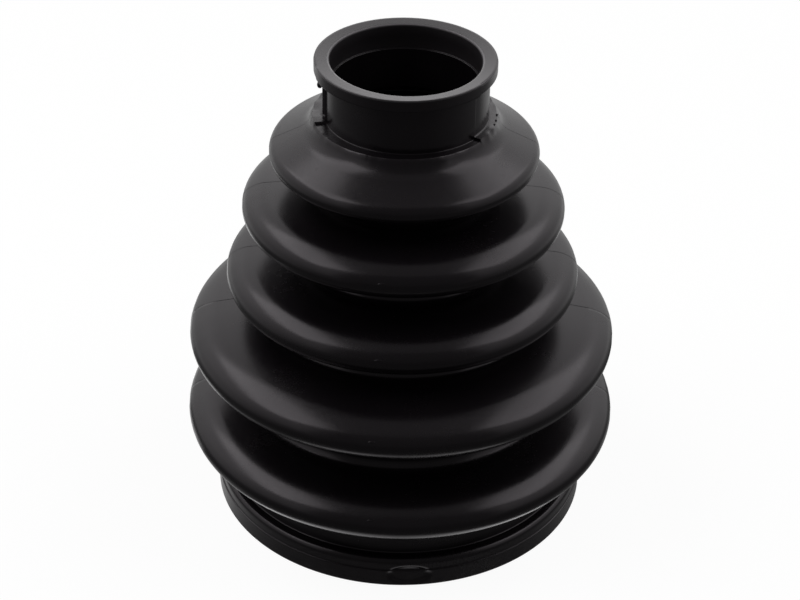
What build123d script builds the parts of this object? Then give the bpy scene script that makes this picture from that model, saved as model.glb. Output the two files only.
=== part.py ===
from build123d import *
from math import acos, asin, atan2, cos, degrees, hypot, radians, sin, sqrt, tan
import os

# Rubber bellows boot: one hollow moulding, open at both ends.
# Millimetres. +Z points from the large mouth to the small one.
# Origin: centre of the large mouth, in the plane of its end face.
# The front is the -Y side; angles round the boot are counted from it, positive towards +X.

# ---- overall; the heights below are stacked up from the large end face
wall = 2.0                     # wall of the bellows

# ---- small collar (neck)
rim_radius = 23.2              # flange ring at the small mouth
rim_height = 3.4
rim_edge = 0.5                 # rounding of the end face's outer edge
seat_radius = 21.4             # clamp seat of the side and back sectors
seat_length = 13.0             # clamp seat, rim ring to base ledge
front_seat_radius = 21.1       # the front sector's seat ...
front_seat_shift = 0.5         # ... and how far its mould slide sat towards +X
ledge_radius = 23.6            # base ledge below the seat
ledge_rise = 9.6               # base ledge above the top crest
ledge_lift = 0.7               # how much higher the ledge is on the side and back sectors
rim_chamfer = 1.2              # slope under the rim on the side and back sectors
mouth_radius = 19.2            # bore above its inner step
mouth_edge = 0.6               # rounding of the mouth's own edge
mouth_depth = 6.9
bore_radius = 18.7             # bore below the step
seams = (-74.0, 53.5, 171.0)   # where the three mould slides of the neck met, in degrees

# ---- bellows: crests from the top down
# (crest radius, rise above the crest below, nose radius, crown radius, flank angle above level);
# the lowest crest's rise is counted from the end face
crests = [
    (34.85, 16.2, 3.0, None, 26.0),
    (42.2, 19.8, 4.2, 9.0, 6.0),
    (46.8, 18.5, 4.3, 9.0, 6.0),
    (57.3, 24.9, 4.6, 12.0, 11.0),
    (58.6, 24.6, 4.5, 12.0, 11.0),
]
crown_from = 50.0              # nose gives way to crown at this normal angle, degrees above level
# valleys between them: (wall radius, rounding at the floor, rounding under the crest above)
valleys = [(22.6, 2.2, 2.2), (27.8, 2.2, 2.2), (37.6, 2.2, 2.2), (42.0, 3.0, 3.0)]
underside = 14.0               # slope of a crest's underside, degrees
flare_radius = 6.0             # hollow between the base ledge and the first cone

# ---- large collar (cuff)
cuff_radius = 51.0             # end flange
cuff_height = 8.8
cuff_edge = 1.6                # rounding of the flange's upper edge
lip_height = 5.1               # lower band of the flange, up to the mould line
lip_step = 0.25                # the band above it stands back by this
groove_radius = 48.0           # clamp seat above the flange
groove_round = 3.0
cuff_bore_radius = 45.4
cuff_bore_depth = 15.5

# ---- oval pocket in the front of the cuff, for a cavity mark that is left plain
pocket_width, pocket_height, pocket_depth = 11.6, 6.0, 0.5
pocket_angle, pocket_z = 3.6, 3.7

# ---- derived
crest_z = [sum(crest[1] for crest in crests[k:]) for k in range(len(crests))]
ledge_z = crest_z[0] + ledge_rise
rim_z = ledge_z + seat_length
height = rim_z + rim_height    # 130 mm from end face to end face
core_radius = (mouth_radius + front_seat_radius - front_seat_shift) / 2   # always inside every sector


def polar(centre, radius, angle):
    a = radians(angle)
    return (centre[0] + radius * cos(a), centre[1] + radius * sin(a))


class Section:
    """Half-section in (radius, height), drawn as arcs joined by straight lines."""

    def __init__(self, start):
        self.start = self.at = start
        self.edges = []

    def line(self, *points):
        for p in points:
            if hypot(p[0] - self.at[0], p[1] - self.at[1]) > 1e-6:
                self.edges.append(Line(self.at, p))
                self.at = p
        return self

    def arc(self, centre, radius, first, last):
        self.line(polar(centre, radius, first))
        end = polar(centre, radius, last)
        if abs(last - first) > 1e-4:
            self.edges.append(ThreePointArc(self.at, polar(centre, radius, (first + last) / 2), end))
            self.at = end
        return self

    def face(self):
        self.line(self.start)
        return Plane.XZ * make_face(Wire(self.edges))


def nose_centre(k):
    return (crests[k][0] - crests[k][2], crest_z[k])


def crown_centre(k):
    (r, z), nose, crown = nose_centre(k), crests[k][2], crests[k][3]
    return polar((r, z), crown - nose, crown_from + 180)


def flank_height(k, r):
    """Height of crest k's outer flank where its radius is r."""
    _, _, nose, crown, slope = crests[k]
    centre, radius = (crown_centre(k), crown) if crown else (nose_centre(k), nose)
    end = polar(centre, radius, 90 - slope)
    return end[1] + (end[0] - r) * tan(radians(slope))


def under_fillet(k, wall_radius, radius):
    """Fillet between the underside of crest k and the wall below it: its centre, and the
    angle at which the crest's nose ends."""
    (r, z), nose = nose_centre(k), crests[k][2]
    leave = polar((r, z), nose, underside - 90)
    x = wall_radius + radius
    if x <= leave[0] + radius * sin(radians(underside)):      # a straight underside lies between
        top = leave[1] - (leave[0] - x) * tan(radians(underside))
        return (x, top - radius / cos(radians(underside))), underside - 90, underside + 90
    drop = sqrt((nose + radius) ** 2 - (x - r) ** 2)          # nose and fillet touch
    return (x, z - drop), degrees(atan2(-drop, x - r)), degrees(atan2(drop, r - x))


def bellows_arcs(depth):
    """Arcs of the bellows surface lying `depth` inside the outer one, from the first cone to
    the cuff: (centre, radius, first angle, last angle)."""
    arcs = []
    for k, (_, _, nose, crown, slope) in enumerate(crests):
        if crown:
            wall_radius, floor_round, _ = valleys[k - 1]
            x = wall_radius + floor_round
            floor = (x, flank_height(k, x) + floor_round / cos(radians(slope)))
            arcs.append((floor, floor_round + depth, 180, 270 - slope))
            arcs.append((crown_centre(k), crown - depth, 90 - slope, crown_from))
            first = crown_from
        else:
            first = 90 - slope
        wall_radius, round_under = (valleys[k][0], valleys[k][2]) if k < len(valleys) \
            else (groove_radius, groove_round)
        centre, nose_end, fillet_start = under_fillet(k, wall_radius, round_under)
        arcs.append((nose_centre(k), nose - depth, first, nose_end))
        arcs.append((centre, round_under + depth, fillet_start, 180))
    return arcs


def flare():
    """Hollow that carries the first cone up to the base ledge: centre and its two angles."""
    slope = crests[0][4]
    x = ledge_radius + flare_radius
    z = flank_height(0, x) + flare_radius / cos(radians(slope))
    return (x, z), 180 + degrees(asin((z - ledge_z) / flare_radius)), 270 - slope


def body():
    """The revolved moulding, with the neck cut back to its core."""
    centre, first, last = flare()
    s = Section((mouth_radius, height - mouth_edge))
    s.arc((mouth_radius + mouth_edge, height - mouth_edge), mouth_edge, 180, 90)
    s.arc((rim_radius - rim_edge, height - rim_edge), rim_edge, 90, 0)
    s.line((rim_radius, rim_z), (core_radius, rim_z), (core_radius, ledge_z))
    s.arc(centre, flare_radius, first, last)
    for arc in bellows_arcs(0):
        s.arc(*arc)
    s.line((groove_radius, cuff_height))
    s.arc((cuff_radius - lip_step - cuff_edge, cuff_height - cuff_edge), cuff_edge, 90, 0)
    s.line((cuff_radius - lip_step, lip_height), (cuff_radius, lip_height), (cuff_radius, 0))
    # and back up the inside
    s.line((cuff_bore_radius, 0), (cuff_bore_radius, cuff_bore_depth))
    for c, radius, first, last in reversed(bellows_arcs(wall)):
        s.arc(c, radius, last, first)
    cone = crests[0][4]
    start = polar(nose_centre(0), crests[0][2] - wall, 90 - cone)
    s.line((bore_radius, start[1] + (start[0] - bore_radius) * tan(radians(cone))))
    s.line((bore_radius, height - mouth_depth), (mouth_radius, height - mouth_depth))
    return revolve(s.face(), Axis.Z)


def sector(points, first, last, shift=0.0):
    """Outline points turned through one mould slide of the neck, about a shifted axis."""
    face = Section(points[0]).line(*points[1:]).face()
    turned = revolve(face, Axis.Z, last - first)
    return Pos(shift, 0, 0) * Rot(0, 0, first - 90) * turned


def neck_sectors():
    left, right, back = seams
    inside = core_radius - 0.4
    plain = [(inside, ledge_z - 0.8), (ledge_radius, ledge_z - 0.8), (ledge_radius, ledge_z)]
    front_ledge = plain + [(inside, ledge_z)]
    front_seat = [(inside + front_seat_shift, ledge_z - 0.4), (front_seat_radius, ledge_z - 0.4),
                  (front_seat_radius, rim_z + 0.4), (inside + front_seat_shift, rim_z + 0.4)]
    side = plain + [(ledge_radius, ledge_z + ledge_lift), (seat_radius, ledge_z + ledge_lift),
                    (seat_radius, rim_z - rim_chamfer), (rim_radius, rim_z), (inside, rim_z)]
    return (sector(front_ledge, left, right)
            + sector(front_seat, left, right, front_seat_shift)
            + sector(side, right, back)
            + sector(side, back, left + 360))


def pocket():
    """Cutter of the oval pocket: an upright oval, kept to a thin shell of the flange."""
    oval = Plane.XZ * Ellipse(pocket_width / 2, pocket_height / 2)
    prism = extrude(Pos(0, -cuff_radius + 3, pocket_z) * oval, 6)
    shell = Pos(0, 0, pocket_z) * (Cylinder(cuff_radius + 2, pocket_height + 2)
                                   - Cylinder(cuff_radius - pocket_depth, pocket_height + 2))
    return Rot(0, 0, pocket_angle) * (prism & shell)


boot = body() + neck_sectors() - pocket()

os.makedirs("parts", exist_ok=True)
export_step(boot, "parts/bellows_boot.step")
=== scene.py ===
# %% [markdown]
# # A rubber bellows boot
# This lesson makes a moulded rubber boot with five folds, a small collar and a large collar.
# The real boot comes out of one mould, so here it is one closed mesh too. Nearly all of its
# shape follows one rule: a cross-section turned about an upright axis. The lesson writes
# that cross-section with arcs, lets Geometry Nodes turn it, and adds the few things that a
# mould leaves behind: steps between mould slides, seams, pips and a shallow pocket.
#
# The first cell loads the engineering model. It fixes where the boot stands and how large it is.

import math

import bpy
import mathutils
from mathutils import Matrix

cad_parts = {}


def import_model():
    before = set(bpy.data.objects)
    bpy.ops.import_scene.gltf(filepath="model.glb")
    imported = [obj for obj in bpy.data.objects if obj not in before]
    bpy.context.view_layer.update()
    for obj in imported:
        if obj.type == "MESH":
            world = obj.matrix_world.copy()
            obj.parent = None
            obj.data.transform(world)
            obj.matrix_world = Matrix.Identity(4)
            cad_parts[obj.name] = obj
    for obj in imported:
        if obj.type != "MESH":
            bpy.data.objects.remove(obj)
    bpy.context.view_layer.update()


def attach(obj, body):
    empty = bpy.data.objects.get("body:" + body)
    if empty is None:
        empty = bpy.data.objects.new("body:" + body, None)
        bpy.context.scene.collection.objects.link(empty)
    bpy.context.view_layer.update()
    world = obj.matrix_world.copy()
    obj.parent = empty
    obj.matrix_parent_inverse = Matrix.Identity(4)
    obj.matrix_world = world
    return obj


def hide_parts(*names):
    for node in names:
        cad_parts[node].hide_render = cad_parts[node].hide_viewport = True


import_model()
MM = 0.001

# %% [markdown]
# ## The camera
# A long lens from a little above keeps the folds nearly parallel, as in a catalogue
# picture. The camera is turned by three plain angles, so that each can be changed alone:
# it looks along +Y, then it turns a little, tilts down, and rolls about its line of sight.

# %% Camera
CAMERA_BACK, CAMERA_UP = 450.6 * MM, 355.7 * MM
TILT_DOWN, TURN_RIGHT, ROLL = math.radians(33.54), math.radians(-0.06), math.radians(0.96)
LENS, SENSOR = 89.96, 36.0

camera_data = bpy.data.cameras.new("catalogue_lens")
camera_data.lens, camera_data.sensor_width = LENS, SENSOR
camera = bpy.data.objects.new("catalogue_camera", camera_data)
camera.rotation_mode = "QUATERNION"
camera.location = (0, -CAMERA_BACK, CAMERA_UP)
look_level = mathutils.Quaternion((1, 0, 0), math.pi / 2)
camera.rotation_quaternion = (mathutils.Quaternion((0, 0, 1), -TURN_RIGHT)
                              @ look_level
                              @ mathutils.Quaternion((1, 0, 0), -TILT_DOWN)
                              @ mathutils.Quaternion((0, 0, 1), ROLL))
bpy.context.scene.collection.objects.link(camera)
bpy.context.scene.camera = camera
print("camera at, mm:", [round(v / MM, 1) for v in camera.location])

# %% [markdown]
# ## Helpers for a cross-section
# A cross-section could be typed in as a long list of points, but nobody can read or change
# such a list. Two helpers are enough instead. `arc` walks round part of a circle, and
# `soften` takes a few corners and rounds each one, because no corner of a rubber moulding
# is truly sharp.

# %% Arcs and softened corners
def polar(centre, radius, angle):
    a = math.radians(angle)
    return (centre[0] + radius * math.cos(a), centre[1] + radius * math.sin(a))


def arc(centre, radius, first, last, step):
    """Points from angle `first` to angle `last`, at most `step` degrees apart."""
    parts = max(3, math.ceil(abs(last - first) / step))
    return [polar(centre, radius, first + (last - first) * i / parts) for i in range(parts + 1)]


def soften(corners, parts=3):
    """Corners are (radius, height, rounding); the first and last stay as they are."""
    points = [corners[0][:2]]
    for before, here, after in zip(corners, corners[1:], corners[2:]):
        corner, rounding = mathutils.Vector(here[:2]), here[2]
        to_a, to_b = mathutils.Vector(before[:2]) - corner, mathutils.Vector(after[:2]) - corner
        half = to_a.angle(to_b) / 2
        a, b = to_a.normalized(), to_b.normalized()
        centre = corner + (a + b).normalized() * rounding / math.sin(half)
        start = corner + a * rounding / math.tan(half) - centre
        end = corner + b * rounding / math.tan(half) - centre
        for i in range(parts):
            spoke = start.slerp(end, i / parts).normalized() * start.length
            points.append(tuple(centre + spoke))
        points.append(tuple(centre + end))
    points.append(corners[-1][:2])
    return points


print("points of one softened corner:", len(soften([(0, 0, 0), (1, 0, 0.1), (1, 1, 0)])))

# %% [markdown]
# ## The folds
# Each fold is a row of tangent arcs. From its crest the skin rolls over a small *nose*, on
# to a wider *crown*, along a nearly level flank and round a tight hollow at the root of the
# valley. Underneath, a short slope leads to the next valley's wall. A handful of sizes for
# each fold give every centre by plain geometry, so a crest can be moved by one number.

# %% Sizes of the folds, in millimetres
CRESTS = [  # crest radius, height, nose radius, crown radius, flank angle above level
    (34.85, 104.0, 3.0, None, 26.0),
    (42.2, 87.8, 4.2, 9.0, 6.0),
    (46.8, 68.0, 4.3, 9.0, 6.0),
    (57.3, 49.5, 4.6, 12.0, 11.0),
    (58.6, 24.6, 4.5, 12.0, 11.0),
]
VALLEYS = [  # radius of the wall, of the hollow at its foot, of the hollow at its top
    (22.6, 2.2, 2.2),
    (27.8, 2.2, 2.2),
    (37.6, 2.2, 2.2),
    (42.0, 3.0, 3.0),
]
CROWN_FROM = 50.0  # angle above level at which a nose passes into its crown
UNDERSIDE = 14.0  # slope under a fold
GROOVE, GROOVE_ROUND = 48.0, 3.0
WALL = 2.0
FOLD_STEP, HOLLOW_STEP = 7.5, 15  # degrees of arc between two rows of the mesh
INSIDE_STEP, INSIDE_HOLLOW_STEP = 25, 28


def nose_centre(k):
    return (CRESTS[k][0] - CRESTS[k][2], CRESTS[k][1])


def crown_centre(k):
    return polar(nose_centre(k), CRESTS[k][3] - CRESTS[k][2], CROWN_FROM + 180)


def flank_height(k, r):
    """Height of fold k's flank at radius r."""
    nose, crown, slope = CRESTS[k][2:]
    centre, radius = (crown_centre(k), crown) if crown else (nose_centre(k), nose)
    end = polar(centre, radius, 90 - slope)
    return end[1] + (end[0] - r) * math.tan(math.radians(slope))


def under_hollow(k, wall_radius, radius):
    """Centre of the hollow under fold k, and the angles where the nose ends and it starts."""
    (r, z), nose, lean = nose_centre(k), CRESTS[k][2], math.radians(UNDERSIDE)
    leave = polar((r, z), nose, UNDERSIDE - 90)
    x = wall_radius + radius
    if x <= leave[0] + radius * math.sin(lean):
        top = leave[1] - (leave[0] - x) * math.tan(lean)
        return (x, top - radius / math.cos(lean)), UNDERSIDE - 90, UNDERSIDE + 90
    drop = math.sqrt((nose + radius) ** 2 - (x - r) ** 2)
    nose_end = math.degrees(math.atan2(-drop, x - r))
    return (x, z - drop), nose_end, math.degrees(math.atan2(drop, r - x))


def folds(depth, step, hollow_step):
    """The skin `depth` inside the outer one, from the top cone down to the groove."""
    points = []
    for k, (_, _, nose, crown, slope) in enumerate(CRESTS):
        first = 90 - slope
        if crown:
            wall_radius, root, _ = VALLEYS[k - 1]
            x = wall_radius + root
            hollow = (x, flank_height(k, x) + root / math.cos(math.radians(slope)))
            points += arc(hollow, root + depth, 180, 270 - slope, hollow_step)
            points += arc(crown_centre(k), crown - depth, first, CROWN_FROM, step)
            first = CROWN_FROM
        wall_radius, _, root = VALLEYS[k] if k < len(VALLEYS) else (GROOVE, None, GROOVE_ROUND)
        hollow, nose_end, hollow_start = under_hollow(k, wall_radius, root)
        points += arc(nose_centre(k), nose - depth, first, nose_end, step)
        points += arc(hollow, root + depth, hollow_start, 180, hollow_step)
    return points


outer_folds = folds(0, FOLD_STEP, HOLLOW_STEP)
print("folds:", len(CRESTS), "with", len(outer_folds), "points outside")

# %% [markdown]
# ## The small collar, in two versions
# Three mould slides closed round the small collar, and they didn't meet exactly. The front
# slide left a square-edged ring and a wall that sits half a millimetre to one side; the
# other two left a ring with a slope under it. Both versions are written here with the same
# number of points, so that the turning step can pick one or the other at each angle.

# %% The two collar outlines
RIM, TOP, RIM_UNDER = 23.2, 130.0, 126.6
MOUTH, MOUTH_STEP, BORE = 19.2, 123.1, 18.7
MOUTH_JOIN = TOP - 3.4  # above this height the mouth belongs to the collar's outline
MOUTH_SIDE = MOUTH + 0.3  # what lies within this radius is the mouth's wall
DISH, MOUTH_EDGE = 0.3, 0.6
SEAT_FRONT, SEAT_SIDE, SLIDE_SHIFT = 21.1, 21.4, 0.5
SLOPE_TOP, SLOPE_FOOT = RIM_UNDER + 0.4, RIM_UNDER - 1.4  # the slope under the side ring
LEDGE, LEDGE_Z = 23.6, 113.6
FRONT_LEDGE, FRONT_LIFT = LEDGE - 0.1, 0.3
SIDE_LEDGE, SIDE_LIFT = LEDGE + 0.2, 0.9
FLARE, FLARE_STEP = 6.0, 8

flare_x = LEDGE + FLARE
flare_z = flank_height(0, flare_x) + FLARE / math.cos(math.radians(CRESTS[0][4]))
flare_first = 180 + math.degrees(math.asin((flare_z - LEDGE_Z) / FLARE))
flare_points = arc((flare_x, flare_z), FLARE, flare_first, 270 - CRESTS[0][4], FLARE_STEP)
flare_top = flare_points[0]

mouth_corners = [(MOUTH, MOUTH_JOIN, 0), (MOUTH, TOP - DISH, MOUTH_EDGE)]
front_collar = soften(mouth_corners + [
    (RIM, TOP, 0.2), (RIM, RIM_UNDER, 0.15), (SEAT_FRONT, RIM_UNDER, 0.2),
    (SEAT_FRONT, LEDGE_Z + FRONT_LIFT, 0.12), (FRONT_LEDGE, LEDGE_Z + FRONT_LIFT, 0.015), (*flare_top, 0)])
side_collar = soften(mouth_corners + [
    (RIM, TOP, 0.5), (RIM, SLOPE_TOP, 0.4), (SEAT_SIDE, SLOPE_FOOT, 0.6),
    (SEAT_SIDE, LEDGE_Z + SIDE_LIFT, 0.4), (SIDE_LEDGE, LEDGE_Z + SIDE_LIFT, 0.25), (*flare_top, 0)])
print("collar points, front and side:", len(front_collar), len(side_collar))

# %% [markdown]
# ## The large collar and the inside
# The large collar is a square flange whose upper band stands back a quarter of a millimetre,
# where the two halves of the mould met. Inside, the skin follows the outside at one wall
# thickness. The whole outline runs round once and closes on itself, so the turned mesh has
# no open edge anywhere.

# %% The whole outline
CUFF, CUFF_TOP, CUFF_EDGE = 51.0, 8.8, 1.6
LIP, LIP_STEP = 5.1, 0.25
GROOVE_FOOT = CUFF_TOP + 1.6
CUFF_BORE, CUFF_BORE_DEPTH = 45.4, 15.5

cuff = soften([(GROOVE, GROOVE_FOOT, 0), (GROOVE, CUFF_TOP, 0.4), (CUFF - LIP_STEP, CUFF_TOP, CUFF_EDGE),
               (CUFF - LIP_STEP, LIP, 0.08), (CUFF, LIP - 0.1, 0.1), (CUFF, 0, 0.4),
               (CUFF_BORE, 0, 0.5), (CUFF_BORE, CUFF_BORE_DEPTH, 0)], parts=4)
inside = list(reversed(folds(WALL, INSIDE_STEP, INSIDE_HOLLOW_STEP)))
cone = math.radians(CRESTS[0][4])
inner_cone = polar(nose_centre(0), CRESTS[0][2] - WALL, 90 - CRESTS[0][4])
bore_foot = inner_cone[1] + (inner_cone[0] - BORE) * math.tan(cone)
neck_inside = soften([(*inner_cone, 0), (BORE, bore_foot, 1.0), (BORE, MOUTH_STEP, 0.12),
                      (MOUTH, MOUTH_STEP, 0.1), (MOUTH, MOUTH_JOIN, 0)])[:-1]

below = flare_points[1:] + outer_folds + cuff + inside + neck_inside
print("points below the collar:", len(below))

# %% [markdown]
# ## Handing the outline to Geometry Nodes
# The outline becomes a small mesh of points and edges. Its shape doesn't matter: what counts
# is what each point carries as attributes. Those are its radius and height in the front
# sector, the same two in the side sectors, how far it shifts with the front slide, and
# whether it lies on the ledge, on the rim's face, on the outer skin or on the flange's band.

# %% A row for each point
KEYS = ("front_r", "front_z", "side_r", "side_z", "slide", "ledge", "rim", "skin", "band")
LENGTHS = KEYS[:5]
SKIN, BAND = KEYS.index("skin"), KEYS.index("band")
SEAT_FROM, SEAT_TO = MOUTH + 1, RIM - 0.8  # radii between which a point is part of the seat
NEAR_LEDGE, FACE_DEPTH, BASE_EDGE, BAND_EDGE = 0.7, 2, 0.3, 0.05


def row(front, side, slide=0.0, ledge=0.0, rim=0.0, skin=0.0, band=0.0):
    return (*front, *side, float(slide), float(ledge), float(rim), float(skin), float(band))


def outline_rows():
    made = []
    for front, side in zip(front_collar, side_collar):
        r, z = front
        made.append(row(front, side, slide=SLIDE_SHIFT if SEAT_FROM < r < SEAT_TO else 0.0,
                        ledge=r > SEAT_SIDE + NEAR_LEDGE and abs(z - LEDGE_Z) < NEAR_LEDGE,
                        rim=z > TOP - FACE_DEPTH, skin=r > MOUTH_SIDE))
    skin_ends = len(flare_points) + len(outer_folds) + len(cuff)
    for i, (r, z) in enumerate(below):
        made.append(row((r, z), (r, z), ledge=0.5 if i == 0 else 0.0, skin=i < skin_ends and z > BASE_EDGE,
                        band=r > CUFF - LIP_STEP - BAND_EDGE and BASE_EDGE < z < CUFF_TOP - CUFF_EDGE))
    return made


print("rows as written:", len(outline_rows()))

# %% [markdown]
# Smooth shading bends the light between two rows, however far apart they stand. So every
# long straight run gets one more row close to each end: the shading then bends only near
# the corner, and the flat stays flat. The band of the flange gets many close rows instead,
# because the oval pocket is pressed into it.

# %% Rows for flat runs and for the pocket
HOLD, LONG_RUN, LONG_RUN_INSIDE = 0.35, 1.8, 5.0
BAND_SPACING = 0.27
DOUBLED = 0.01  # rows closer than this are the same row


def between(a, b, share):
    return tuple(p + (q - p) * share for p, q in zip(a, b))


def held(rows):
    """Adds a row near both ends of every long straight run, and drops doubled rows."""
    full = [rows[0]]
    for a, b in zip(rows, rows[1:]):
        run = math.dist(a[:2], b[:2])
        if run < DOUBLED:
            continue
        if run > (LONG_RUN if a[SKIN] and b[SKIN] else LONG_RUN_INSIDE):
            full += [between(a, b, HOLD / run), between(a, b, 1 - HOLD / run)]
        full.append(b)
    return full


def close_rows(rows):
    """Splits the flange's band into close rows."""
    full = []
    for a, b in zip(rows, rows[1:]):
        full.append(a)
        if a[BAND] and b[BAND]:
            parts = max(1, round(abs(a[1] - b[1]) / BAND_SPACING))
            full += [between(a, b, i / parts) for i in range(1, parts)]
    return full + [rows[-1]]


def outline_mesh(name, rows):
    mesh = bpy.data.meshes.new(name)
    edges = [(i, (i + 1) % len(rows)) for i in range(len(rows))]
    mesh.from_pydata([(r * MM, z * MM, 0) for r, z, *_ in rows], edges, [])
    for place, key in enumerate(KEYS):
        unit = MM if key in LENGTHS else 1.0
        data = mesh.attributes.new(key, "FLOAT", "POINT").data
        data.foreach_set("value", [one[place] * unit for one in rows])
    return mesh


rows = close_rows(held(outline_rows()))
outline_data = outline_mesh("boot_outline", rows)
print("outline points:", len(rows))

# %% [markdown]
# ## Small marks
# A mould lets air out through fine vents, and rubber creeps into each of them. It leaves a
# flat mark on four of the crests, one above the other, a few pips on the ledge of the small
# collar, and a knob where the ring met the joint between two slides. Each is a loose point
# in the same mesh, with the way it faces and its three half-sizes as attributes.

# %% Places of the small marks
VENT_ANGLE, VENT_FACING = -7.0, {1: 18, 2: 20, 3: 29, 4: 38}  # fold: degrees above level
VENT_HALF, VENT_SUNK = (0.9, 0.28, 0.16), 0.06
PIP_ANGLES, PIP_R, PIP_FACING, PIP_HALF = (75, 80.5, 88), 23.4, 80, (0.28, 0.28, 0.30)
KNOB_ANGLE, KNOB_R, KNOB_Z, KNOB_HALF = -74.7, RIM - 1.1, RIM_UNDER - 1.7, (1.1, 0.75, 0.75)
marks = []


def mark_at(angle, r, z, rise, half_sizes):
    """A mark at this angle round the boot, facing outwards and `rise` degrees up."""
    a, e = math.radians(angle), math.radians(rise)
    place = (r * math.sin(a) * MM, -r * math.cos(a) * MM, z * MM)
    marks.append((place, (math.cos(e) * math.sin(a), -math.cos(e) * math.cos(a), math.sin(e)), half_sizes))


for fold, rise in VENT_FACING.items():
    r, z = polar(nose_centre(fold), CRESTS[fold][2] - VENT_SUNK, rise)
    mark_at(VENT_ANGLE, r, z, rise, VENT_HALF)
for angle in PIP_ANGLES:
    mark_at(angle, PIP_R, LEDGE_Z + SIDE_LIFT, PIP_FACING, PIP_HALF)
mark_at(KNOB_ANGLE, KNOB_R, KNOB_Z, 0, KNOB_HALF)

first = len(outline_data.vertices)
outline_data.vertices.add(len(marks))
layers = outline_data.attributes
for key, kind in (("faces", "FLOAT_VECTOR"), ("half_size", "FLOAT_VECTOR"), ("mark", "BOOLEAN")):
    layers.new(key, kind, "POINT")
for i, (place, facing, half_sizes) in enumerate(marks, first):
    outline_data.vertices[i].co = place
    layers["faces"].data[i].vector = facing
    layers["half_size"].data[i].vector = half_sizes
    layers["mark"].data[i].value = True
outline = bpy.data.objects.new("boot_outline", outline_data)
print("marks:", len(marks))

# %% [markdown]
# ## Writing sums as nodes
# A node tree that moves points by a formula needs dozens of Math nodes. This small class
# makes them from ordinary sums: `a * b` adds a Multiply node and links it. It keeps the tree
# and the formula in one readable line. Three shapes come back again and again, so they have
# names: a ramp that `rises`, a ramp that `falls`, and a `bump`.

# %% A field that can be added and multiplied
class Field:
    def __init__(self, tree, socket):
        self.tree, self.socket = tree, socket

    def node(self, operation, *others, clamp=False):
        made = self.tree.nodes.new("ShaderNodeMath")
        made.operation, made.use_clamp = operation, clamp
        for slot, value in zip(made.inputs, (self, *others)):
            if isinstance(value, Field):
                self.tree.links.new(value.socket, slot)
            else:
                slot.default_value = value
        return Field(self.tree, made.outputs[0])

    def __add__(self, other):
        return self.node("ADD", other)

    def __sub__(self, other):
        return self.node("SUBTRACT", other)

    def __mul__(self, other):
        return self.node("MULTIPLY", other)

    def __truediv__(self, other):
        return self.node("DIVIDE", other)

    def sin(self):
        return self.node("SINE")

    def cos(self):
        return self.node("COSINE")

    def abs(self):
        return self.node("ABSOLUTE")

    def wrap(self):
        """The same angle between -pi and pi."""
        return self.node("WRAP", math.pi, -math.pi)

    def clamp(self):
        return self.node("ADD", 0.0, clamp=True)

    def flip(self):
        """One minus the field."""
        return self.node("MULTIPLY_ADD", -1.0, 1.0)

    def rises(self, start, width):
        """0 up to `start`, then a straight ramp that is 1 from `start + width` on."""
        return ((self - start) / width).clamp()

    def falls(self, end, width):
        """1 up to `end - width`, then a straight ramp that is 0 from `end` on."""
        return ((self * -1.0 + end) / width).clamp()

    def bump(self, width):
        """1 where the field is 0, falling smoothly to 0 at `width` either side."""
        near = (self.abs() / width).clamp().flip()
        return near * near * (near * -2.0 + 3.0)


def attribute(tree, key, kind="FLOAT"):
    node = tree.nodes.new("GeometryNodeInputNamedAttribute")
    node.data_type = kind
    node.inputs["Name"].default_value = key
    return Field(tree, node.outputs["Attribute"])


def noise(tree, scale, detail, place=None):
    """Smooth noise at `place`, or at the point itself, from about -1 to 1."""
    node = tree.nodes.new("ShaderNodeTexNoise")
    node.inputs["Scale"].default_value, node.inputs["Detail"].default_value = scale, detail
    if place is None:
        place = tree.nodes.new("GeometryNodeInputPosition").outputs[0]
    tree.links.new(place, node.inputs["Vector"])
    return (Field(tree, node.outputs["Fac"]) - 0.5) * 2.0


# %% [markdown]
# ## Turning the outline
# `Curve to Mesh` sweeps the outline round a circle, and a Set Position step then puts every
# point where its attributes say. This cell makes the tree with its named inputs, keeps the
# loose marks for later and sweeps the rest.

# %% The turning tree
SETTINGS = {"Columns": 224, "Crowding": 0.62, "Gather": 1.0, "Seam step": 0.10, "Parting depth": 0.10,
            "Pocket depth": 0.5, "Slot depth": 1.25, "Ripple": 0.03}
tree = bpy.data.node_groups.new("turned_boot", "GeometryNodeTree")
interface = tree.interface
interface.new_socket("Outline", in_out="INPUT", socket_type="NodeSocketGeometry")
for key, value in SETTINGS.items():
    kind = "NodeSocketInt" if isinstance(value, int) else "NodeSocketFloat"
    interface.new_socket(key, in_out="INPUT", socket_type=kind).default_value = value
interface.new_socket("Rubber", in_out="INPUT", socket_type="NodeSocketMaterial")
interface.new_socket("Boot", in_out="OUTPUT", socket_type="NodeSocketGeometry")
inputs, output = tree.nodes.new("NodeGroupInput"), tree.nodes.new("NodeGroupOutput")


def size(key, unit=1.0):
    return Field(tree, inputs.outputs[key]) * unit


def chain(kind, geometry, **settings):
    """Adds a geometry node after `geometry` and returns the node."""
    node = tree.nodes.new(kind)
    for key, value in settings.items():
        setattr(node, key, value)
    tree.links.new(geometry, node.inputs[0])
    return node


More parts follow.
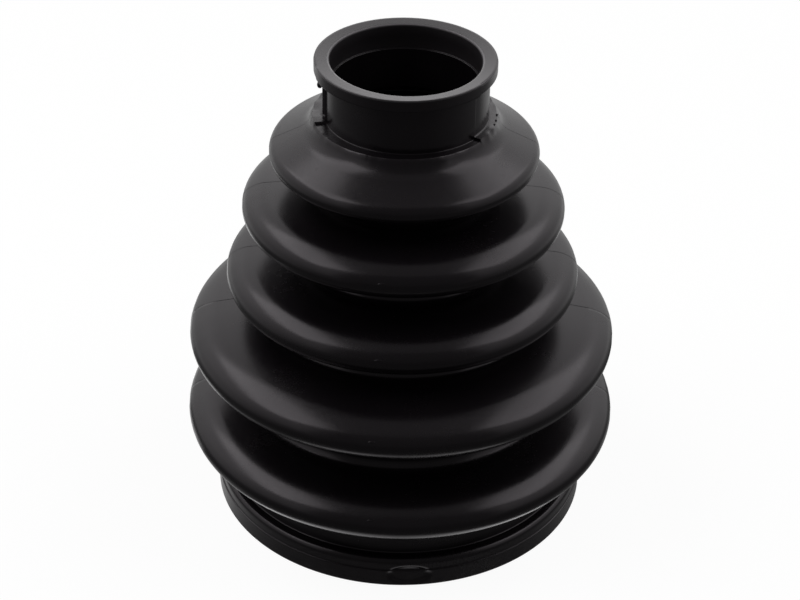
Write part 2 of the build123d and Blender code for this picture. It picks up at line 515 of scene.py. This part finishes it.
parts = chain("GeometryNodeSeparateGeometry", inputs.outputs["Outline"])
tree.links.new(attribute(tree, "mark", "BOOLEAN").socket, parts.inputs["Selection"])
profile = chain("GeometryNodeMeshToCurve", parts.outputs["Inverted"])
circle = tree.nodes.new("GeometryNodeCurvePrimitiveCircle")
tree.links.new(inputs.outputs["Columns"], circle.inputs["Resolution"])
column = Field(tree, tree.nodes.new("GeometryNodeInputIndex").outputs[0])
numbered = chain("GeometryNodeStoreNamedAttribute", circle.outputs["Curve"],
                 data_type="FLOAT", domain="POINT")
numbered.inputs["Name"].default_value = "turn"
tree.links.new((column / size("Columns")).socket, numbered.inputs["Value"])
sweep = chain("GeometryNodeCurveToMesh", numbered.outputs[0])
tree.links.new(profile.outputs[0], sweep.inputs["Profile Curve"])
print("inputs of the tree:", len(SETTINGS) + 2)

# %% [markdown]
# ## The angle of each column
# The angle is a formula as well: the columns stand closer together at the front, where the
# pocket is, and gather at each seam, so that a step in the mould stays crisp without a
# dense mesh everywhere. From the angle follows which mould slide made a point.

# %% Columns and mould slides
SEAMS = (-74.0, 53.5, 171.0)  # degrees from the front, + towards +X
PARTINGS = (-90.0, 90.0)
SLOT = (-82.0, -74.0)
GATHER = {SEAMS[0]: 3.6, SLOT[0]: 3.0, SEAMS[1]: 6.0, SEAMS[2]: 6.0, PARTINGS[0]: 8.0, PARTINGS[1]: 8.0}

turn = attribute(tree, "turn") * (2 * math.pi)
angle = (turn - size("Crowding") * turn.sin()).wrap()
for seam, reach in GATHER.items():
    away = (angle - math.radians(seam)).wrap()
    near = (away.abs() / size("Gather", math.radians(reach))).clamp()
    angle = (angle - away * (near * near).flip()).wrap()
degrees = angle * (180 / math.pi)
step = size("Seam step")


def after(seam):
    return ((degrees - seam) / step + 0.5).clamp()


def before(seam, centre=0.5):
    """1 before the seam; with a `centre` of -0.5 it ends a whole step earlier."""
    return ((degrees * -1.0 + seam) / step + centre).clamp()


in_front = after(SEAMS[0]) * before(SEAMS[1])
in_left = before(SEAMS[0], -0.5) + after(SEAMS[2])
in_slot = after(SLOT[0]) * before(SLOT[1], -0.5)
print("nodes so far:", len(tree.nodes))

# %% [markdown]
# ## Putting every point in its place
# The points go to the turned surface. Three things on the small collar aren't round: the
# rim's face dips a little at the front, its inner edge is cut wider there, and a deep slot
# runs down beside the left seam. Thin flash roughens the ledge, least of all in front.

# %% Positions on the turned surface
MOUTH_WIDER, WIDEST_AT, WIDER_REACH = 0.55, 25.0, 75.0
FRONT_DIP, DIP_REACH = 0.26, 120.0
FLASH_GRAIN, FLASH_FRONT, FLASH_SIDES, FLASH_UP = 330.0, 0.15, 0.45, 0.25
LEFT_SHARE = 0.7  # the left slide sits this much of SLIDE_SHIFT to one side


def pick(front_key, side_key):
    front, side = attribute(tree, front_key), attribute(tree, side_key)
    return side + (front - side) * in_front


def turned_place(radius, height, shift=0.0):
    """The point at this radius and height, at its own angle round the axis."""
    node = tree.nodes.new("ShaderNodeCombineXYZ")
    x, y = radius * angle.sin() + shift, radius * angle.cos() * -1.0
    for socket, value in zip(node.inputs, (x, y, height)):
        tree.links.new(value.socket, socket)
    return node.outputs[0]


radius, height = pick("front_r", "side_r"), pick("front_z", "side_z")
rim, slide = attribute(tree, "rim"), attribute(tree, "slide")
inner_edge = radius.falls(RIM * MM, (RIM - MOUTH) * MM)
radius = radius + (degrees - WIDEST_AT).bump(WIDER_REACH) * rim * inner_edge * (MOUTH_WIDER * MM)
height = height - degrees.bump(DIP_REACH) * rim * (FRONT_DIP * MM)
flash = noise(tree, FLASH_GRAIN, 2.0, turned_place(radius, height)) * attribute(tree, "ledge")
radius = radius + flash * (in_front.flip() * FLASH_SIDES + FLASH_FRONT) * MM
radius = radius - in_slot * slide * size("Slot depth", 1 / SLIDE_SHIFT)
turned = chain("GeometryNodeSetPosition", sweep.outputs[0])
place = turned_place(radius, height + flash * (FLASH_UP * MM), slide * (in_front + in_left * LEFT_SHARE))
tree.links.new(place, turned.inputs["Position"])
print("nodes so far:", len(tree.nodes))

# %% [markdown]
# ## Partings, pocket and unevenness
# A second step moves the points a little along the surface's own normal: in along the two
# thin partings and at the oval pocket, and up and down by a few hundredths of a millimetre
# everywhere outside, because cooled rubber is never quite even.

# %% Small moves along the normal
POCKET_WIDTH, POCKET_HEIGHT, POCKET_ANGLE, POCKET_Z = 11.6, 6.0, 3.6, 3.7
POCKET_WALL = 0.55  # how wide the pocket's sloping wall is
RIPPLE_GRAIN, PARTING_REACH = 30.0, 0.14

lift = (noise(tree, RIPPLE_GRAIN, 2.0) - 1.0) * size("Ripple", 0.5 * MM)
on_bellows = height.falls((LEDGE_Z - 0.2) * MM, 0.2 * MM) * height.rises((CUFF_TOP + 1) * MM, 1.0 * MM)
for parting in PARTINGS:
    lift = lift - (degrees - parting).bump(PARTING_REACH) * on_bellows * size("Parting depth", MM)
across = (degrees - POCKET_ANGLE) * (math.radians(1) * CUFF / (POCKET_WIDTH / 2))
upward = (height / MM - POCKET_Z) / (POCKET_HEIGHT / 2)
from_middle = (across * across + upward * upward).node("SQRT")
pressed = (from_middle.flip() * (POCKET_HEIGHT / 2 / POCKET_WALL)).clamp() * attribute(tree, "band")
lift = (lift - pressed * size("Pocket depth", MM)) * attribute(tree, "skin")

along = tree.nodes.new("ShaderNodeVectorMath")
along.operation = "SCALE"
tree.links.new(tree.nodes.new("GeometryNodeInputNormal").outputs[0], along.inputs[0])
tree.links.new(lift.socket, along.inputs["Scale"])
uneven = chain("GeometryNodeSetPosition", turned.outputs[0])
tree.links.new(along.outputs[0], uneven.inputs["Offset"])
print("nodes so far:", len(tree.nodes))

# %% [markdown]
# ## Marks and shading
# Every loose point gets a small ball, stretched to its three half-sizes and turned the way
# the mark faces. Then the tree joins everything and shades it smooth. Only an edge that
# bends sharply stays hard, so that a step in the mould doesn't shade like a round corner.

# %% Marks, shading and material
SHARP = math.radians(35)

drop = tree.nodes.new("GeometryNodeMeshIcoSphere")
drop.inputs["Radius"].default_value, drop.inputs["Subdivisions"].default_value = MM, 3
turn_out = tree.nodes.new("FunctionNodeAlignRotationToVector")
turn_out.axis = "Z"
tree.links.new(attribute(tree, "faces", "FLOAT_VECTOR").socket, turn_out.inputs["Vector"])
drops = chain("GeometryNodeInstanceOnPoints", parts.outputs["Selection"])
tree.links.new(drop.outputs["Mesh"], drops.inputs["Instance"])
tree.links.new(turn_out.outputs[0], drops.inputs["Rotation"])
tree.links.new(attribute(tree, "half_size", "FLOAT_VECTOR").socket, drops.inputs["Scale"])
whole = chain("GeometryNodeJoinGeometry", drops.outputs[0])
tree.links.new(uneven.outputs[0], whole.inputs[0])
realized = chain("GeometryNodeRealizeInstances", whole.outputs[0])
smooth = chain("GeometryNodeSetShadeSmooth", realized.outputs[0])
bend = Field(tree, tree.nodes.new("GeometryNodeInputMeshEdgeAngle").outputs["Unsigned Angle"])
crisp = chain("GeometryNodeSetShadeSmooth", smooth.outputs[0], domain="EDGE")
tree.links.new(bend.node("GREATER_THAN", SHARP).socket, crisp.inputs["Selection"])
crisp.inputs["Shade Smooth"].default_value = False
coated = chain("GeometryNodeSetMaterial", crisp.outputs[0])
tree.links.new(inputs.outputs["Rubber"], coated.inputs["Material"])
tree.links.new(coated.outputs[0], output.inputs["Boot"])
print("nodes in the turning tree:", len(tree.nodes))

# %% [markdown]
# ## Black rubber
# Moulded rubber with carbon black is almost black, and what the eye sees is its sheen. The
# skin copies a fine-ground steel mould: satin, a little uneven in gloss, with faint smears
# from release agent. The colour is therefore nearly plain, and the noise goes into
# roughness, with only a very slight bump. The face of the small collar was cut, not
# moulded: it is a little paler. Towards the front it is painted paler still, a painted
# reflection, and a thin pale ring round the mouth's edge is a painted highlight.

# %% The rubber material
# The pale grey is the cut face's own colour and also carries a painted reflection and a painted highlight.
BLACK, WORN_BLACK, CUT_AND_HIGHLIGHT_GREY = (0.0088, 0.0069, 0.0086, 1), (0.0110, 0.0089, 0.0107, 1), (0.30, 0.286, 0.30, 1)
RUBBER_IOR, LAMP_TINT_IN_SHEEN = 1.5, (1.0, 0.93, 0.98, 1)
# The front share paints the cut face paler towards the front, a painted reflection; the edge share, place and
# reach paint a highlight ring round the mouth.
CUT_SHARE, FRONT_PAINTED_REFLECTION, EDGE_HIGHLIGHT_SHARE, MOUTH_SHARE = 0.13, 0.10, 0.82, 0.022
CUT_FROM, EDGE_HIGHLIGHT_AT, EDGE_HIGHLIGHT_REACH = TOP - DISH - 0.45, MOUTH + 0.38, 0.36
SHEEN, MOTTLE, MOUTH_DULL = (0.215, 0.275), (-0.02, 0.02), 0.25
EDGE = 0.1  # how softly one finish passes into the next


def rubber_material():
    material = bpy.data.materials.new("moulded_black_rubber")
    material.use_nodes = True
    tree = material.node_tree
    nodes, links = tree.nodes, tree.links
    shader = nodes["Principled BSDF"]
    shader.inputs["IOR"].default_value = RUBBER_IOR
    # The specular tint gives the reflections the colour of the lamps' light, painted into the rubber.
    shader.inputs["Specular Tint"].default_value = LAMP_TINT_IN_SHEEN
    coordinates = nodes.new("ShaderNodeTexCoord").outputs["Object"]

    def grain(scale, detail):
        node = nodes.new("ShaderNodeTexNoise")
        node.inputs["Scale"].default_value, node.inputs["Detail"].default_value = scale, detail
        links.new(coordinates, node.inputs["Vector"])
        return node.outputs["Fac"]

    def spread(value, low, high, dark, light):
        """Stretches the noise between `low` and `high` to run from `dark` to `light`."""
        ramp = nodes.new("ShaderNodeMapRange")
        for key, number in (("From Min", low), ("From Max", high), ("To Min", dark), ("To Max", light)):
            ramp.inputs[key].default_value = number
        links.new(value, ramp.inputs["Value"])
        return ramp.outputs[0]

    def mixed(factor, a, b):
        """A colour mix; `a` is a colour or a socket."""
        mix = nodes.new("ShaderNodeMix")
        mix.data_type = "RGBA"
        mix.inputs["B"].default_value = b
        if isinstance(a, tuple):
            mix.inputs["A"].default_value = a
        else:
            links.new(a, mix.inputs["A"])
        links.new(factor, mix.inputs["Factor"])
        return mix.outputs["Result"]

    place = nodes.new("ShaderNodeSeparateXYZ")
    links.new(coordinates, place.inputs[0])
    x, y, z = (Field(tree, socket) for socket in place.outputs)
    radius = (x * x + y * y).node("SQRT") / MM
    forward = y / MM / radius * -1.0
    cut_face = z.rises(CUT_FROM * MM, EDGE * MM)
    # A thin pale ring at the mouth's edge: a painted highlight.
    painted_edge_highlight = (radius - EDGE_HIGHLIGHT_AT).bump(EDGE_HIGHLIGHT_REACH) * cut_face
    in_mouth = radius.falls(MOUTH_SIDE, EDGE) * z.rises((MOUTH_STEP + EDGE) * MM, EDGE * MM)

    tone = mixed(spread(grain(38.0, 4.0), 0.35, 0.7, 0.0, 1.0), BLACK, WORN_BLACK)
    # The cut face is a little paler in its own colour; towards the front it is painted paler as reflection,
    # and the edge ring is a painted highlight.
    pale = cut_face * (forward * FRONT_PAINTED_REFLECTION + CUT_SHARE) + painted_edge_highlight * EDGE_HIGHLIGHT_SHARE + in_mouth * MOUTH_SHARE
    links.new(mixed(pale.clamp().socket, tone, CUT_AND_HIGHLIGHT_GREY), shader.inputs["Base Color"])

    sheen = Field(tree, spread(grain(55.0, 3.0), 0.3, 0.7, *SHEEN))
    mottle = Field(tree, spread(grain(900.0, 2.0), 0.3, 0.7, *MOTTLE))
    links.new((sheen + mottle + in_mouth * MOUTH_DULL).socket, shader.inputs["Roughness"])

    bump = nodes.new("ShaderNodeBump")
    bump.inputs["Strength"].default_value, bump.inputs["Distance"].default_value = 0.10, 0.02 * MM
    links.new(grain(1600.0, 2.0), bump.inputs["Height"])
    links.new(bump.outputs[0], shader.inputs["Normal"])
    return material


rubber = rubber_material()
print("material:", rubber.name)

# %% [markdown]
# ## From the tree to a plain mesh
# The modifier gets its sizes by socket identifier before the object is first evaluated. The
# evaluated result is copied into a plain mesh, and the modifier goes, so that what is left
# is an ordinary object at the origin. A signed volume tells whether the faces look outwards.

# %% Run the tree
def make_plain(name, source, group, values):
    """Runs a node group on `source` and returns its result as a plain mesh object."""
    modifier = source.modifiers.new("tree", "NODES")
    modifier.node_group = group
    sockets = {item.name: item.identifier for item in group.interface.items_tree
               if item.item_type == "SOCKET" and item.in_out == "INPUT"}
    for key, value in values.items():
        modifier[sockets[key]] = value
    bpy.context.scene.collection.objects.link(source)
    evaluated = source.evaluated_get(bpy.context.evaluated_depsgraph_get())
    mesh = bpy.data.meshes.new_from_object(evaluated)
    source.modifiers.clear()
    bpy.data.objects.remove(source)
    mesh.name = name
    made = bpy.data.objects.new(name, mesh)
    bpy.context.scene.collection.objects.link(made)
    return made


def signed_volume(mesh):
    mesh.calc_loop_triangles()
    corner = [v.co for v in mesh.vertices]
    return sum(corner[a].dot(corner[b].cross(corner[c]))
               for a, b, c in (t.vertices for t in mesh.loop_triangles)) / 6


boot = make_plain("rubber_boot", outline, tree, {**SETTINGS, "Rubber": rubber})
if signed_volume(boot.data) < 0:
    boot.data.flip_normals()
for key in KEYS + ("turn", "mark", "faces", "half_size"):
    if key in boot.data.attributes:
        boot.data.attributes.remove(boot.data.attributes[key])
boot.data.update()
print("boot:", len(boot.data.polygons), "faces, volume cm3:", round(signed_volume(boot.data) * 1e6, 1))

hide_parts("bellows_boot")
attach(boot, "root")

# %% [markdown]
# ## The table and the screen
# A black, shiny shape is drawn by what it mirrors, so the room matters as much as the lamps.
# A white screen curves round behind the boot from side to side, and the front of the room
# stays dark. The table and the screen are pale for the lamps, and a glow that only the
# camera and mirror images see makes them white. The glow puts no light on the boot; it
# shows only in the boot's mirror images, and there it is painted light.

# %% A white that glows
def glowing_white(name, colour, camera_level, mirror_level):
    """`mirror_level(x, y, z, distance, slant)` gives the glow in mirror images as a Field."""
    material = bpy.data.materials.new(name)
    material.use_nodes = True
    tree = material.node_tree
    tree.nodes.clear()
    out, total = tree.nodes.new("ShaderNodeOutputMaterial"), tree.nodes.new("ShaderNodeAddShader")
    diffuse, emission = tree.nodes.new("ShaderNodeBsdfDiffuse"), tree.nodes.new("ShaderNodeEmission")
    path = tree.nodes.new("ShaderNodeLightPath")
    seen, glossy, through = (Field(tree, path.outputs[key])
                             for key in ("Is Camera Ray", "Is Glossy Ray", "Is Transmission Ray"))
    mirrored = (glossy + through).clamp()
    place = tree.nodes.new("ShaderNodeSeparateXYZ")
    tree.links.new(tree.nodes.new("ShaderNodeTexCoord").outputs["Object"], place.inputs[0])
    x, y, z = (Field(tree, socket) for socket in place.outputs)
    slant = Field(tree, tree.nodes.new("ShaderNodeLayerWeight").outputs["Facing"])
    glow = seen * camera_level + mirrored * mirror_level(x, y, z, (x * x + y * y).node("SQRT"), slant)
    tree.links.new(glow.socket, emission.inputs["Strength"])
    tree.links.new((mirrored.flip() * colour).socket, diffuse.inputs["Color"])
    tree.links.new(diffuse.outputs[0], total.inputs[0])
    tree.links.new(emission.outputs[0], total.inputs[1])
    tree.links.new(total.outputs[0], out.inputs["Surface"])
    return material


# %% [markdown]
# ## What the boot mirrors
# In mirror images the glow follows the place, as painted reflection. On the table it is bright
# right under the lowest fold, beside the boot and just behind it, which draws the thin light
# lines along the undersides of the folds. It is weak in front, grows towards the screen, and
# is dark inside the boot. The screen is brightest behind the boot, in a patch of glow.

# %% How bright each place looks in a mirror image
ROOM, SCREEN_HEIGHT = 1.45, 1.80


def table_level(x, y, z, distance, slant):
    """Distances are from the boot's axis; `slant` is 0 seen from above and 1 from the side."""
    side, back = x.abs() / distance, y / distance
    left = (x / distance * -0.4 + 0.7).clamp()
    outside = distance.rises(46 * MM, 2 * MM)

    under_fold = distance.falls(61.5 * MM, 3 * MM)
    from_above = slant.falls(under_fold * 0.12 + 0.11, 0.07) * distance.falls(130 * MM, 30 * MM)
    beside = distance.falls(85 * MM, 30 * MM) * side.node("POWER", 6.0)
    near_side = ((y * 0.35 + x.abs()) / distance).rises(0.98, 0.06) \
        * distance.falls(105 * MM, 15 * MM) * distance.rises(62 * MM, 6 * MM)
    near_back = ((y - x * 0.14) / distance).rises(0.51, 0.35) \
        * distance.falls(200 * MM, 50 * MM) * distance.rises(50 * MM, 30 * MM)

    level_view = ((slant - 0.45) / 0.28 + back.rises(0.45, 1 / 3)).clamp()
    towards_screen = back.rises(-0.9, 1.6) * distance.rises(90 * MM, 260 * MM) * level_view
    glow = towards_screen * 0.62 + near_back + near_side * left * 0.7 \
        + from_above * (side * 1.2 + 0.5) + beside * left * 0.5 + 0.075
    return glow * outside


def screen_level(x, y, z, distance, slant):
    behind = (y / ROOM).rises(-0.4, 1.4) * 0.42 + 0.45
    upward = z.rises(0.0, 0.8) * 0.5 + 0.75 - z.rises(0.75, 0.6) * 0.4
    # A brighter patch of glow that only mirror images see: a painted reflection.
    glow_patch = x.bump(0.46) * (z - 0.52).bump(0.46)
    return behind * upward + glow_patch * 0.9


print("room radius and screen height, m:", ROOM, SCREEN_HEIGHT)

# %% Table and screen
PALE, WHITE = 0.16, 0.938
TABLE_SINK = 0.02 * MM  # keeps the table clear of the boot's base
TABLE_PARTS, SCREEN_PARTS = 72, 48
LEFT_END, RIGHT_END = -44, 50  # the screen's ends, in degrees from the front


def stage_mesh(name, points, faces, material):
    mesh = bpy.data.meshes.new(name)
    mesh.from_pydata(points, [], faces)
    mesh.materials.append(material)
    made = bpy.data.objects.new(name, mesh)
    bpy.context.scene.collection.objects.link(made)


def room_point(turn, z):
    return (ROOM * math.sin(turn), -ROOM * math.cos(turn), z)


table_edge = [room_point(math.radians(i * 360 / TABLE_PARTS), -TABLE_SINK) for i in range(TABLE_PARTS)]
stage_mesh("white_table", table_edge, [range(TABLE_PARTS)],
           glowing_white("table_white", PALE, WHITE, table_level))
screen_turn = 360 + LEFT_END - RIGHT_END
turns = [math.radians(RIGHT_END + screen_turn * i / SCREEN_PARTS) for i in range(SCREEN_PARTS + 1)]
screen = [room_point(turn, z) for z in (0, SCREEN_HEIGHT) for turn in turns]
upper = SCREEN_PARTS + 1
stage_mesh("white_screen", screen, [(i, i + 1, i + upper + 1, i + upper) for i in range(SCREEN_PARTS)],
           glowing_white("screen_white", PALE, WHITE, screen_level))
print("points of table and screen:", len(table_edge), len(screen))

# %% [markdown]
# ## The lamps
# One long soft light stands high at each side and draws the broad highlights along the
# folds. A third, very weak one hangs above and fills in a little between them.

# %% Soft lights
AIM_HEIGHT = 0.07


def soft_light(name, around, up, distance, width, tall, brightness):
    """A rectangular light aimed at the boot; `around` is counted from the front, + to +X."""
    data = bpy.data.lights.new(name, "AREA")
    data.shape, data.size, data.size_y = "RECTANGLE", width, tall
    data.energy = brightness * math.pi * width * tall
    lamp = bpy.data.objects.new(name, data)
    a, e = math.radians(around), math.radians(up)
    lamp.location = (distance * math.sin(a) * math.cos(e), -distance * math.cos(a) * math.cos(e),
                     AIM_HEIGHT + distance * math.sin(e))
    lamp.rotation_mode = "QUATERNION"
    lamp.rotation_quaternion = (mathutils.Vector((0, 0, AIM_HEIGHT)) - lamp.location).to_track_quat("-Z", "Y")
    lamp.visible_camera = False
    bpy.context.scene.collection.objects.link(lamp)
    print(name, "watts:", round(data.energy, 1))


soft_light("soft_light_left", around=-97, up=52, distance=1.15, width=1.20, tall=0.56, brightness=1.64)
soft_light("soft_light_right", around=103, up=49, distance=1.15, width=1.20, tall=0.64, brightness=1.24)
soft_light("soft_light_above", around=0, up=82, distance=1.55, width=1.10, tall=1.10, brightness=0.08)

# %% [markdown]
# ## The room
# The camera sees a white room above the screen. Everything else gets only a tenth of it, so
# that the dark front of the room stays dark in the mirror images.

# %% Room and view
ROOM_LEVEL = 0.10

world = bpy.data.worlds.new("room")
world.use_nodes = True
bpy.context.scene.world = world
path = world.node_tree.nodes.new("ShaderNodeLightPath")
level = Field(world.node_tree, path.outputs["Is Camera Ray"]) * (1 - ROOM_LEVEL) + ROOM_LEVEL
background = world.node_tree.nodes["Background"]
background.inputs["Color"].default_value = (1, 1, 1, 1)
world.node_tree.links.new(level.socket, background.inputs["Strength"])
bpy.context.scene.view_settings.view_transform = "Standard"
print("view transform:", bpy.context.scene.view_settings.view_transform)
